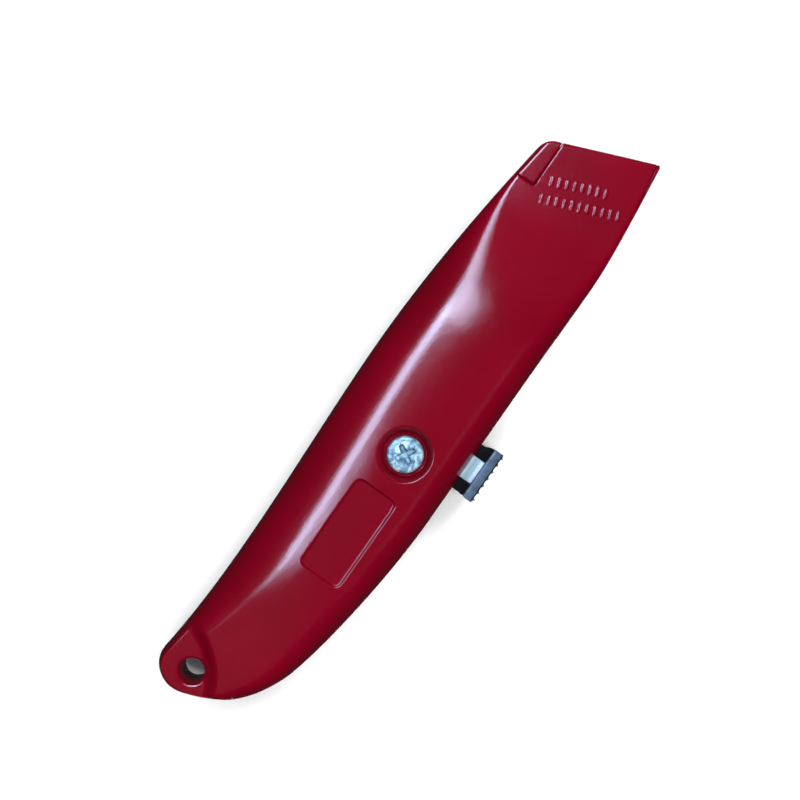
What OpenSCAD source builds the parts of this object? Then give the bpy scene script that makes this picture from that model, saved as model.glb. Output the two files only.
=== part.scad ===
// Retractable utility knife, lying on its side.
// +X runs along the blade slide from the tail to the nose, +Y from the thumb button to the belly,
// +Z out of the half that holds the screw head. The two cast halves part at the blade's own plane.

/* [Casing] */
// Length from the tail end to the tip of the nose
overall_l = 151; // [148:1:185]
// Greatest width, from the straight back edge to the belly
body_w = 31; // [30:0.5:38]
// Thickness of the upper half at the middle of the handle
upper_t = 9.5; // [9.3:0.1:11.5]
// How much thinner the lower half is, where it is ground flat to lie on
rest_flat = 0.2; // [0.1:0.05:0.3]
// Half thickness of the nose
nose_half_t = 4.9; // [4.6:0.1:6]
// Half thickness behind the hang hole
tail_half_t = 7.3; // [6.8:0.1:8.5]
// Half thickness of the thin land round the hang hole
land_half_t = 5.5; // [5.2:0.1:6.5]
// Length of the flat nose
nose_l = 18; // [16:1:24]
// Slant of the front edge from square
nose_slant = 22; // [15:1:26]
// Height of the crown across each face
face_crown = 0.35; // [0.25:0.05:0.5]
// Wall of the castings
wall = 2.2; // [1.8:0.1:2.6]
// Wall along the back edge, which carries the lock notches
rail_wall = 2.8; // [2.3:0.1:3.2]
// Width of the rounded belly shoulder
belly_shoulder = 10; // [7:0.5:11]
// Width of the rounded back shoulder
back_shoulder = 5.5; // [4:0.5:7]
// Diameter of the hang hole
hang_d = 5.4; // [4:0.2:6]

/* [Screw] */
// Distance of the screw from the tail end
screw_x = 69.6; // [68:0.2:72]
// Distance of the screw from the back edge
screw_y = 12.5; // [12:0.1:13]
// Diameter of the screw's thread
screw_d = 4; // [3:0.2:4.4]
// Diameter of the screw's head
head_d = 7.8; // [7:0.2:8.4]
// Height of the screw's head
head_t = 2.1; // [1.6:0.1:2.2]
// Depth of the dished recess that the head sits in
recess_h = 2.3; // [2.2:0.1:2.6]

/* [Blade] */
// Length of a blade along its cutting edge
blade_l = 61; // [58:0.5:62]
// Height of a blade
blade_w = 19; // [17:0.5:19.5]
// Thickness of a blade
blade_t = 0.6; // [0.4:0.05:0.75]
// Run of each slanted end along the cutting edge
blade_end = 13.3; // [12:0.1:15]
// How far the tip of the blade lies behind the front edge when it is drawn in
tip_back = 2; // [1:0.5:6]
// How far the blade travels out of the nose
blade_travel = 27; // [20:0.5:27]
// Number of spare blades in the handle
spare_n = 5; // [1:1:5]

/* [Button] */
// Length of the thumb pad
pad_l = 12.1; // [10:0.1:13]
// Width of the thumb pad
pad_w = 13; // [10:0.5:14]
// Thickness of the thumb pad
pad_t = 2.5; // [2:0.1:3]
// Height of the pad's underside over the back edge
pad_lift = 2.6; // [2.2:0.1:3]
// How far the button can be pressed
press_travel = 1.3; // [0.8:0.1:1.4]
// Length of the post under the pad
post_l = 5.5; // [4:0.1:6]
// Distance from the screw to the middle of the post
post_from_screw = 5.4; // [5:0.1:7]

/* [Hidden] */

EPS = 0.01;
FAR = 60;
slide_gap = 0.2;            // running clearance of what slides
seam_gap = 0.12;            // seam between the interlocking halves

// The outline of the casing is drawn for this length and width and scaled to the sizes above.
drawn_l = 151;
drawn_w = 31;
function drawn(p) = [p.x * overall_l / drawn_l, p.y * body_w / drawn_w];
BELLY = [for (s = [
    [[0, 24.5], [0, 28.1], [2.9, 31.4], [6.5, 31]],
    [[6.5, 31], [30, 28], [62, 31], [86, 31]],
    [[86, 31], [104, 31], [122, 29.1], [141.4, 26.4]],
    [[141.4, 26.4], [145, 25.9], [150, 25.2], [156, 24.4]]]) [for (p = s) drawn(p)]];
BACK = [for (s = [
    [[0, 24.5], [0, 22], [2.8, 16.7], [4.3, 14.1]],
    [[4.3, 14.1], [6, 11.05], [10.5, 7.8], [15.5, 5.9]],
    [[15.5, 5.9], [21, 3.8], [42, 0.2], [60, 0]],
    [[60, 0], [80, 0], [100, 0], [120, 0]],
    [[120, 0], [128, 0], [140, 1.6], [156, 3.5]]]) [for (p = s) drawn(p)]];

// A point on a cubic curve, the curve's y at a given x, and an edge's y at a given x.
function bez(p, t) = pow(1 - t, 3) * p[0] + 3 * t * pow(1 - t, 2) * p[1]
    + 3 * t * t * (1 - t) * p[2] + pow(t, 3) * p[3];
function bez_at(p, x, lo = 0, hi = 1, n = 20) = let (m = (lo + hi) / 2)
    n == 0 ? bez(p, m).y : bez(p, m).x > x ? bez_at(p, x, lo, m, n - 1) : bez_at(p, x, m, hi, n - 1);
function edge_y(chain, x) = bez_at([for (s = chain) if (x <= s[3].x) s][0], x);

// A size along the handle: its value at the tail, along the middle and at the nose, eased between.
full_x = 40;                // the middle's thickness starts here
nose_x = overall_l - nose_l;
taper_x = nose_x - 36;      // and the taper to the nose starts here
function ease(t) = 0.5 - 0.5 * cos(180 * min(1, max(0, t)));
function along(x, tail, mid, nose) = x < full_x ? tail + (mid - tail) * ease(x / full_x)
    : mid + (nose - mid) * ease((x - taper_x) / (nose_x - taper_x));

nose_round = 1.2;           // rounding of the nose's long edges
tail_round = 3.6;           // rounding of the tail end
tail_shoulder = 3.8;
edge_h = 0.8;               // upright rim of each half beside the seam, at the middle
tail_edge_h = 1.5;
tail_x = 0.1;               // the tail end is dressed flat here

shoulder_n = 7;             // facets round a shoulder
face_n = 4;                 // facets across the crowned face

// One cross-section of a half as [y, z] points, from the belly's rim over the face to the back's
// rim. in is the depth of the wall for the hollow inside, and base is the height of its foot.
function section(x, in, base) = let (
    yb = edge_y(BELLY, x) - in,
    yk = edge_y(BACK, x) + in,
    rim = along(x, tail_edge_h, edge_h, nose_half_t - nose_round),
    rise = x < tail_round ? sqrt(1 - pow(1 - x / tail_round, 2)) : 1,
    top = rim + (along(x, tail_half_t, upper_t, nose_half_t) - rim) * rise - in,
    crown = face_crown * along(x, 0.5, 1, 0),
    foot = min(rim, top - 0.4),
    face = top - crown,
    most = 0.45 * (yb - yk),
    wb = min(most, max(nose_round, along(x, tail_shoulder, belly_shoulder, nose_round) - in)),
    wk = min(most, max(nose_round, along(x, tail_shoulder, back_shoulder, nose_round) - in)))
    concat(
        [[yb, base]],
        [for (k = [0 : shoulder_n]) let (a = 90 * k / shoulder_n)
            [yb - wb * (1 - cos(a)), foot + (face - foot) * sin(a)]],
        [for (k = [1 : face_n - 1]) let (u = 2 * k / face_n - 1)
            [yb - wb - (yb - wb - yk - wk) * k / face_n, face + crown * (1 - u * u)]],
        [for (k = [shoulder_n : -1 : 0]) let (a = 90 * k / shoulder_n)
            [yk + wk * (1 - cos(a)), foot + (face - foot) * sin(a)]],
        [[yk, base]]);

// A half lofted through its cross-sections at the given places along the handle.
module loft(xs, in = 0, base = 0) {
    rows = [for (x = xs) section(x, in, base)];
    m = len(rows[0]);
    n = len(xs);
    polyhedron(
        points = [for (i = [0 : n - 1]) for (p = rows[i]) [xs[i], p.x, p.y]],
        faces = concat(
            [for (i = [0 : n - 2]) for (j = [0 : m - 1]) let (a = i * m + j, d = i * m + (j + 1) % m)
                each [[a, a + m, d + m], [a, d + m, d]]],
            [[for (j = [0 : m - 1]) j], [for (j = [m - 1 : -1 : 0]) (n - 1) * m + j]]));
}

// Places of the cross-sections: close together at the round tail and wherever the form bends.
front_x = overall_l + 1;
OUTER_XS = concat(
    [tail_x],
    [for (k = [1 : 6]) drawn([6.5, 0]).x * (1 - cos(15 * k))],
    [for (x = [9 : 3 : 39]) x],
    [for (x = [45 : 8 : 93]) x * taper_x / 97],
    [for (k = [0 : 10]) taper_x + (nose_x - taper_x) * k / 10],
    [for (k = [1 : 4]) nose_x + (front_x - nose_x) * k / 4]);

// The flat front: a plan that keeps what is behind the slanted edge through the nose tip.
tip_y = edge_y(BACK, overall_l);
module behind_front() translate([overall_l, tip_y]) rotate(nose_slant)
    translate([-4 * FAR, -2 * FAR]) square([4 * FAR, 4 * FAR]);
function front_at(y) = overall_l - (y - tip_y) * tan(nose_slant);

// Thin land round the hang hole: it ends in a shallow sloped arc across the tail.
hang_x = 6;
hang_y = 23.2 * body_w / drawn_w;
land_r = 14.8;
land_slope = 1.1;           // run of the slope for each millimetre of height
land_cx = -1.4;
land_cy = 32.4 * body_w / drawn_w;

module land_cut() translate([land_cx, land_cy, land_half_t])
    cylinder(h = FAR, r1 = land_r, r2 = land_r + land_slope * FAR, $fn = 96);
hang_rim = 0.6;             // chamfer round the hang hole

module hang_bore() translate([hang_x, hang_y, 0]) {
    cylinder(h = 2 * FAR, d = hang_d, center = true, $fn = 48);
    for (s = [0, 1]) mirror([0, 0, s]) translate([0, 0, land_half_t - hang_rim])
        cylinder(h = 2 * hang_rim, d1 = hang_d, d2 = hang_d + 4 * hang_rim, $fn = 48);
}

// Outside of the upper half; base below 0 gives it a foot under the seam.
module blank(base = 0) difference() {
    loft(OUTER_XS, base = base);
    land_cut();
    translate([0, 0, -FAR]) linear_extrude(2 * FAR) difference() {
        translate([overall_l - 2 * FAR, -FAR]) square([4 * FAR, 4 * FAR]);
        behind_front();
    }
}

// What the lower half lends to the upper one's side of the nose: a tab round the belly corner and
// a thin lip along the back, both up to the face.
tab_x = nose_x - 1;
tab_y = 23.0 * body_w / drawn_w;
lip_x = nose_x + 4.2;
lip_slope = 10.4;

module nose_claws(grow) {
    translate([tab_x - grow, tab_y - grow]) square([FAR, FAR]);
    translate([lip_x, edge_y(BACK, lip_x) + grow]) rotate(lip_slope)
        translate([-grow, -FAR]) square([FAR, FAR]);
}

// The hollow of a half, with the rounded form of the outside, between the tail and the nose.
hollow_x0 = 20;
hollow_x1 = nose_x - 7;
HOLLOW_XS = concat(
    [for (x = [hollow_x0 : 5 : 40]) x],
    [for (x = [55, 75]) x * taper_x / 97],
    [for (k = [0 : 6]) taper_x + (hollow_x1 - taper_x) * k / 6]);

// Heights of the mechanism over and under the seam, and depths from the back edge.
post_x = screw_x + post_from_screw;
pad_x = post_x + 0.25;
shoe_half = 2.7;            // half width of the shoe and the post's head
post_half = 1.9;            // half width of the post below
shoe_l = pad_l - 0.4;
shoe_y = rail_wall + 0.8;   // foot of the shoe
slot_half = shoe_half + slide_gap;
ear_gap = 0.1;
ear_t = 1;
ear_z = post_half + ear_gap + ear_t;
ear_y0 = shoe_y + press_travel + slide_gap;
pin_d = 2;
pin_gap = 0.05;
pin_y = ear_y0 + pin_d / 2 + 0.5;
post_y = pin_y + pin_d / 2 + 0.3;
ear_y1 = pin_y + press_travel + pin_d / 2 + 0.45;
web_t = 1;
spring_t = 0.5;
spring_z0 = ear_z + 0.4;
spring_z1 = spring_z0 + 1.9;
spring_y = pin_y + pin_d / 2 + pin_gap;
tooth_x = screw_x - 3.1;
tooth_w = 0.9;
notch_depth = 0.9;
ear_x0 = post_x - 1.6;
ear_x1 = post_x + 9;
anchor_x0 = post_x + 5.5;
anchor_x1 = post_x + 10;
runner_x0 = pad_x + pad_l / 2 + 0.6;
seat_x0 = ear_x1 + 1;
seat_y0 = 4.9;
seat_y1 = 20;
seat_t = 1.35;
seat_z = blade_t / 2 + 0.05;        // the blade lies on the seat here

blade_y0 = 4.5;                     // back of the working blade
blade_y1 = blade_y0 + blade_w;
blade_x1 = front_at(blade_y1) - tip_back;
blade_x0 = blade_x1 - blade_l;
seat_x1 = (blade_x0 + blade_x1) / 2 + 1;
blade_slit = blade_t / 2 + 0.1;     // half height of the slit in each half

channel_x0 = tooth_x - 1.6;
channel_x1 = anchor_x1 + blade_travel + 0.5;
channel_y1 = ear_y1 + web_t + 0.5;

spare_gap = 0.03;
spare_pitch = blade_t + spare_gap;
spare_top = 0.15;
spare_floor = spare_top + spare_n * spare_pitch;
spare_x0 = screw_x - 56.1;
spare_y1 = edge_y(BELLY, full_x) - wall - 0.25;
spare_y0 = spare_y1 - blade_w;

boss_d = 7.2;
recess_d = 11.8;
recess_floor_d = 9.2;
recess_z = upper_t - recess_h;
thread_gap = 0.02;
screw_end = upper_t - rest_flat - wall - 1;
rib_t = 1.6;
rail_rib_t = 1.4;
RIB_XS = [22, 40, 58];
peg_h = 1.4;
PEGS = [[12, 14, 1.2], [nose_x - 3.5, 26.6, 0.9]];

// Cuts that the two halves share: the button's slot in the back edge, the channel of the slide
// behind it, and the slit that the blade runs in.
module shared_cuts(channel_z, slit_z) {
    translate([pad_x - shoe_l / 2 - slide_gap, -FAR, -EPS])
        cube([shoe_l + 2 * slide_gap + blade_travel, FAR + rail_wall + EPS, slot_half + EPS]);
    translate([channel_x0, rail_wall, -EPS])
        cube([channel_x1 - channel_x0, channel_y1 - rail_wall, channel_z + EPS]);
    translate([hollow_x1 - 2, blade_y0 - 0.3, -EPS])
        cube([FAR, blade_w + 0.6, slit_z + EPS]);
}

// Ribs cast across the handle at each place in RIB_XS, from height z up.
module cross_ribs(z) for (x = RIB_XS) translate([x, -FAR, z]) cube([rib_t, 2 * FAR, FAR]);

// A rib cast along the slide between two places, from height z up.
module long_rib(x0, y, z) translate([x0, y, z]) cube([FAR * 2, rail_rib_t, FAR]);

// Generic grip bars in two slanted rows on the nose, in place of lettering.
bar_l = 2.2;
bar_w = 0.7;
bar_h = 0.25;
bar_root = 0.3;
bar_pitch = 1.55;
BAR_ROWS = [[8, 9.2, 9.2], [11, 4.3, 13.6]];   // bars, first bar's y, distance behind the front
module grip_bars() for (row = BAR_ROWS)
    for (k = [0 : row.x - 1]) let (y = row.y + k * bar_pitch)
        translate([front_at(y) - row.z, y, nose_half_t - bar_root]) rotate(nose_slant)
            translate([-bar_l / 2, -bar_w / 2, 0]) cube([bar_l, bar_w, bar_root + bar_h]);

panel_l = 21.8;
panel_w = 9.8;
panel_r = 1.5;
panel_depth = 0.5;
panel_x = screw_x - 20.3;

module label_panel() translate([panel_x, screw_y + 0.4, upper_t - panel_depth])
    linear_extrude(FAR) union() {
        square([panel_l - 2 * panel_r, panel_w], center = true);
        square([panel_l, panel_w - 2 * panel_r], center = true);
        for (sx = [-1, 1], sy = [-1, 1])
            translate([sx * (panel_l / 2 - panel_r), sy * (panel_w / 2 - panel_r)])
                circle(panel_r, $fn = 32);
    }

module upper_solid() difference() {
    union() {
        blank();
        grip_bars();
    }
    difference() {
        loft(HOLLOW_XS, in = wall, base = -1);
        translate([screw_x, screw_y, -2]) cylinder(h = FAR, d = boss_d, $fn = 64);
        translate([screw_x, screw_y, recess_z - wall]) cylinder(h = FAR, d = recess_d + 2, $fn = 64);
        cross_ribs(0);
        long_rib(seat_x0, 14, blade_slit);
    }
    shared_cuts(ear_z + 0.3, blade_slit);
    translate([0, 0, -1]) linear_extrude(FAR) nose_claws(seam_gap);
    hang_bore();
    label_panel();
    translate([screw_x, screw_y, -1]) cylinder(h = FAR, d = screw_d + 0.4, $fn = 48);
    translate([screw_x, screw_y, recess_z])
        cylinder(h = recess_h + 0.1, d1 = recess_floor_d, d2 = recess_d, $fn = 64);
    for (p = PEGS) translate([p.x, p.y, -1]) cylinder(h = 1 + peg_h + 0.2, r = p.z + 0.06, $fn = 32);
}

// Upper half, with the dished seat of the screw, the sunk panel and the bars on the nose.
module upper_casing() color("#8a0020") place() upper_solid();

module lower_solid() {
    difference() {
        intersection() {
            blank();
            translate([-FAR, -FAR, -EPS]) cube([overall_l + 2 * FAR, 4 * FAR, upper_t - rest_flat + EPS]);
        }
        difference() {
            loft(HOLLOW_XS, in = wall, base = -1);
            translate([screw_x, screw_y, -2]) cylinder(h = FAR, d = boss_d, $fn = 64);
            cross_ribs(spare_floor);
            long_rib(seat_x0 + 2, 12, seat_z + seat_t + 0.1);
            long_rib(blade_x0 + 1, seat_y1 + 0.3, blade_slit);
        }
        shared_cuts(spring_z1 + 0.3, blade_slit);
        translate([spare_x0, 0, -EPS]) linear_extrude(spare_floor + EPS) spare_pocket();
        translate([hollow_x1 - 2, blade_y0 + 0.1, -EPS])
            cube([seat_x1 + blade_travel + 0.6 - hollow_x1 + 2, seat_y1 + 0.3 - blade_y0 - 0.1,
                  seat_z + seat_t + 0.2 + EPS]);
        for (k = [0 : 2]) translate([tooth_x + k * blade_travel / 2, rail_wall + EPS, spring_z0 - 0.2])
            linear_extrude(spring_z1 - spring_z0 + 0.4)
                polygon([[-tooth_w / 2 - 0.1, 0], [-tooth_w / 2 - 0.1, -notch_depth],
                         [tooth_w / 2 + 0.1, -notch_depth], [tooth_w / 2 + 0.5, 0]]);
        hang_bore();
        translate([screw_x, screw_y, -1])
            cylinder(h = 1 + screw_end + 0.4, d = screw_d + 2 * thread_gap, $fn = 48);
    }
}

// Room for the spare blades where the hollow has not yet begun.
module spare_pocket() translate([0, spare_y0]) offset(delta = 0.3) blade_plan();

// Lower half: the bed of the spare blades and the slide, the threaded boss, the lock notches,
// two locating pegs, and the tab and lip that close round the upper half's nose. The blade's slit
// runs on through the root of the tab.
module lower_casing() color("#8a0020") place() {
    mirror([0, 0, 1]) lower_solid();
    difference() {
        intersection() {
            blank(base = -0.5);
            translate([0, 0, -1]) linear_extrude(FAR) nose_claws(0);
        }
        translate([hollow_x1 - 2, blade_y0 - 0.3, -blade_slit]) cube([FAR, blade_w + 0.6, 2 * blade_slit]);
    }
    for (p = PEGS) translate([p.x, p.y, -1]) cylinder(h = 1 + peg_h, r = p.z, $fn = 32);
}

// Pan-head machine screw with a cross recess, cast halves clamped between head and boss.
cross_l = 5;
cross_w = 1.1;
cross_depth = 1.3;
cross_turn = 59;
module casing_screw() color("#aab0bc") place() translate([screw_x, screw_y, 0]) difference() {
    union() {
        translate([0, 0, -screw_end]) cylinder(h = screw_end + recess_z + EPS, d = screw_d, $fn = 48);
        translate([0, 0, recess_z]) rotate_extrude($fn = 64) polygon(concat([[0, 0]],
            [[head_d / 2 - 0.15, 0], [head_d / 2, 0.2]],
            [for (k = [0 : 8]) let (a = 10 * k) [head_d / 2 * cos(a), 0.9 + (head_t - 0.9) * sin(a)]],
            [[0, head_t]]));
    }
    for (a = [0, 90]) rotate(a + cross_turn) translate([-cross_l / 2, -cross_w / 2,
        recess_z + head_t - cross_depth]) cube([cross_l, cross_w, FAR]);
}

// Plan of a blade from its rear corner: the cutting edge is the long side, at y = blade_w, and the
// two notches are in the short side.
notch_w = 2.9;
notch_h = 2.6;
notch_pitch = 6.4;
module blade_plan() difference() {
    polygon([[0, blade_w], [blade_l, blade_w], [blade_l - blade_end, 0], [blade_end, 0]]);
    for (s = [-1, 1]) translate([blade_l / 2 + s * notch_pitch / 2 - notch_w / 2, -1])
        square([notch_w, notch_h + 1]);
}

// A ground blade lying flat, its lower face at height z: the plan cut out of a strip that is
// ground to an edge along one side.
bevel_w = 1.4;
edge_t = 0.06;
module blade(x, y, z) translate([x, y, z]) intersection() {
    linear_extrude(blade_t) blade_plan();
    rotate([90, 0, 90]) linear_extrude(blade_l) polygon([
        [0, 0], [blade_w - bevel_w, 0], [blade_w, (blade_t - edge_t) / 2],
        [blade_w, (blade_t + edge_t) / 2], [blade_w - bevel_w, blade_t], [0, blade_t]]);
}

module working_blade() color("#c8ccd2") place() blade(blade_x0, blade_y0, -blade_t / 2);

module spare_blade(i) color("#b9bec6") place()
    blade(spare_x0, spare_y0, -spare_floor + (i - 1) * spare_pitch);

// Bent steel carrier: two ears for the button's pin, the web between them, the seat under the
// blade with the lug in its notch, and the block that holds the lock spring.
module ear(z, x1) difference() {
    translate([ear_x0, ear_y0, z]) cube([x1 - ear_x0, ear_y1 - ear_y0, ear_t]);
    translate([post_x, pin_y, z - 1]) for (d = [0, press_travel]) translate([0, d, 0])
        cylinder(h = ear_t + 2, d = pin_d + 2 * pin_gap, $fn = 48);
    translate([post_x - pin_d / 2 - pin_gap, pin_y, z - 1])
        cube([pin_d + 2 * pin_gap, press_travel, ear_t + 2]);
}

module blade_carrier() color("#b6b8ba") place() difference() {
    union() {
        ear(-ear_z, seat_x0 + 1);
        ear(ear_z - ear_t, ear_x1);
        translate([ear_x0 + 0.6, ear_y1, -ear_z]) cube([ear_x1 - ear_x0 - 0.6, web_t, 2 * ear_z]);
        translate([runner_x0, rail_wall + slide_gap, -ear_z])
            cube([seat_x0 + 1 - runner_x0, ear_y1 - rail_wall - slide_gap, ear_t]);
        translate([seat_x0, rail_wall + slide_gap, -ear_z])
            cube([web_t + 0.4, ear_y1 - rail_wall - slide_gap, ear_z - seat_z]);
        translate([seat_x0, seat_y0, -seat_z - seat_t]) cube([seat_x1 - seat_x0, seat_y1 - seat_y0, seat_t]);
        translate([(blade_x0 + blade_x1 - notch_pitch - notch_w) / 2 + 0.1, seat_y0, -seat_z - 0.5])
            cube([notch_w - 0.2, blade_y0 + notch_h - seat_y0 - 0.1, seat_z + 0.5 + blade_t / 2]);
        translate([anchor_x0, spring_y - 1.1, -spring_z1])
            cube([anchor_x1 - anchor_x0, ear_y1 - spring_y + 1.1, spring_z1 - ear_z + EPS]);
    }
    translate([anchor_x0 - 1, spring_y, -spring_z1 - 1])
        cube([anchor_x1 - anchor_x0, spring_t, spring_z1 - ear_z + 0.6]);
}

// Leaf spring: the pin bears on its flank, and its turned-up end is the tooth that locks the slide.
module lock_spring() color("#5a6470") place() translate([0, 0, -spring_z1])
    linear_extrude(spring_z1 - spring_z0) union() {
        translate([tooth_x - tooth_w / 2, spring_y]) square([anchor_x1 - 1 - tooth_x + tooth_w / 2, spring_t]);
        translate([tooth_x - tooth_w / 2, rail_wall - notch_depth + 0.15])
            square([spring_t, spring_y - rail_wall + notch_depth - 0.15]);
        translate([tooth_x - tooth_w / 2, rail_wall - notch_depth + 0.15]) square([tooth_w, 1.4]);
    }

// Cross pin that carries the post in the ears and rests on the lock spring.
module button_pin() color("#c4c8ce") place() translate([post_x, pin_y, -spring_z1])
    cylinder(h = spring_z1 + ear_z + 0.2, d = pin_d, $fn = 48);

joint_y = -0.4 * pad_lift;          // where the pad's boss meets the post
post_neck_y = 0.6;                  // the post narrows here, inside the shoe
module button_post() color("#c9ccd0") place() difference() {
    union() {
        translate([post_x - post_l / 2, joint_y, -shoe_half])
            cube([post_l, post_neck_y - joint_y, 2 * shoe_half]);
        translate([post_x - post_l / 2, post_neck_y - EPS, -post_half])
            cube([post_l, post_y - post_neck_y + EPS, 2 * post_half]);
    }
    translate([post_x, pin_y, -FAR]) cylinder(h = 2 * FAR, d = pin_d + 0.02, $fn = 48);
}

// Black nylon shoe that fills the slot before and behind the post and keeps grit out.
module button_shoe() color("#141416") place() difference() {
    translate([pad_x - shoe_l / 2, -pad_lift, -shoe_half]) cube([shoe_l, pad_lift + shoe_y, 2 * shoe_half]);
    translate([post_x - post_l / 2, -FAR, -FAR]) cube([post_l, FAR + post_neck_y, 2 * FAR]);
    translate([post_x - post_l / 2, 0, -post_half]) cube([post_l, FAR, 2 * post_half]);
}

// Cast thumb pad: scallops run across its outer face, and a short boss meets the post.
scallop_n = 6;
scallop_r = 0.95;
scallop_depth = 0.55;
scallop_pitch = 1.75;
module thumb_button() color("#50637f") place() {
    difference() {
        translate([pad_x - pad_l / 2, -pad_lift - pad_t, -pad_w / 2]) cube([pad_l, pad_t, pad_w]);
        for (k = [0 : scallop_n - 1])
            translate([pad_x + (k - (scallop_n - 1) / 2) * scallop_pitch,
                       -pad_lift - pad_t - scallop_r + scallop_depth, -FAR])
                cylinder(h = 2 * FAR, r = scallop_r, $fn = 32);
    }
    translate([post_x - post_l / 2, -pad_lift - EPS, -shoe_half])
        cube([post_l, pad_lift + joint_y + EPS, 2 * shoe_half]);
}

// The design frame has the tail at x = 0, the back edge at y = 0 and the seam at z = 0. The part
// stands on the middle of its box, on the flat of its lower half.
belly_y = 31.005 * body_w / drawn_w;
module place() translate([-(overall_l + tail_x) / 2, -(belly_y - pad_lift - pad_t) / 2, upper_t - rest_flat])
    children();

upper_casing();
lower_casing();
casing_screw();
blade_carrier();
working_blade();
lock_spring();
button_pin();
button_post();
button_shoe();
thumb_button();
for (i = [1 : spare_n]) spare_blade(i);
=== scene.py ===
import math

import bmesh
import bpy
import numpy as np
from mathutils import Matrix, Vector


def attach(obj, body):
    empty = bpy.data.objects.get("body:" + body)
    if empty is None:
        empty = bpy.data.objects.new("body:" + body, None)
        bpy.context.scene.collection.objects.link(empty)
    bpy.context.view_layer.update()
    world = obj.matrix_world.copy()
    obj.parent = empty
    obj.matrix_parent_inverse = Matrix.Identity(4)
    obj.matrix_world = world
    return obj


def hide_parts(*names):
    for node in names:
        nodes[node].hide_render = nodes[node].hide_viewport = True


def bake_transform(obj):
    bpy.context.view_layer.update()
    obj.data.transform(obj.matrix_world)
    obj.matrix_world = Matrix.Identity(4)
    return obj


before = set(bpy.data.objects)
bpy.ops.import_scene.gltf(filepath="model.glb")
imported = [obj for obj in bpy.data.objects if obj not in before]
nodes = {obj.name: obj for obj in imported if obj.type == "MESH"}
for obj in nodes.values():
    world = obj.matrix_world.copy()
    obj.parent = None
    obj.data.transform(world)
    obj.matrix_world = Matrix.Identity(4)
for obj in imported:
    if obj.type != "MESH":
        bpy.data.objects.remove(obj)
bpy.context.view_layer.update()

# ---------------------------------------------------------------- lower half
# Zinc die casting, 2.2 mm thick, enamelled deep crimson. It holds the spare blades and the slide, and
# its tab and lip close round the nose of the upper half. Its lowest face is ground flat.


def to_row(points):
    """Millimetres from the tail, the back edge and the seam to metres in the row frame: half the box
    off x and y, the depth of the lower half added to z."""
    return (np.asarray(points, float) - [75.55, 12.9525, -9.3]) / 1000


def cubic_chain(segments):
    """Points of joined cubic curves: each is the Bernstein sum of its four points, 400 steps long."""
    t = np.linspace(0, 1, 401)[:, None]
    return np.vstack([(1 - t) ** 3 * a + 3 * t * (1 - t) ** 2 * b + 3 * t * t * (1 - t) * c + t ** 3 * d
                      for a, b, c, d in np.array(segments, float)])


BELLY = cubic_chain([[[0, 24.5], [0, 28.1], [2.9, 31.4], [6.5, 31]],
                     [[6.5, 31], [30, 28], [62, 31], [86, 31]],
                     [[86, 31], [104, 31], [122, 29.1], [141.4, 26.4]],
                     [[141.4, 26.4], [145, 25.9], [150, 25.2], [156, 24.4]]])
BACK = cubic_chain([[[0, 24.5], [0, 22], [2.8, 16.7], [4.3, 14.1]],
                    [[4.3, 14.1], [6, 11.05], [10.5, 7.8], [15.5, 5.9]],
                    [[15.5, 5.9], [21, 3.8], [42, 0.2], [60, 0]],
                    [[60, 0], [80, 0], [100, 0], [120, 0]],
                    [[120, 0], [128, 0], [140, 1.6], [156, 3.5]]])
FRONT = np.array([151.0, 2.9])                # the nose tip, where the slanted front edge starts
SLANT = math.radians(22)                      # lean of the front edge
FRONT_ROLL = 0.45                             # rounding of the rim at the front edge
FLAT_Z = 9.3                                  # height of the ground flat
LAND_Z = 5.5                                  # height of the land round the hang hole
HOLE = np.array([6, 23.2])                    # centre of the hang hole, of 2.7 mm radius
SEAM_GAP = 0.12                               # gap round the tab and the lip
TAB_X, TAB_Y = 132.0, 23.0                    # inner corner of the tab
LIP_X, LIP_SLOPE = 137.2, math.radians(10.4)  # start and rise of the lip
SLOT = (69.2, 108.3)                          # ends of the button's slot
PAST_X, PAST_BELLY, PAST_BACK = 170, 45, -9   # where cutters end, clear of the piece


def back_y(x):
    """The back edge's y at x, read off its curve."""
    return np.interp(x, BACK[:, 0], BACK[:, 1])


def ease(t):
    """Half a cosine wave, from 0 to 1 as t goes from 0 to 1."""
    return 0.5 - 0.5 * np.cos(np.pi * np.clip(t, 0, 1))


def along(x, tail, mid, nose, start=97):
    """A size along the handle: tail to mid over the first 40 mm, mid to nose from start to 133 mm."""
    return np.where(x < 40, tail + (mid - tail) * ease(x / 40),
                    mid + (nose - mid) * ease((x - start) / (133 - start)))


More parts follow.
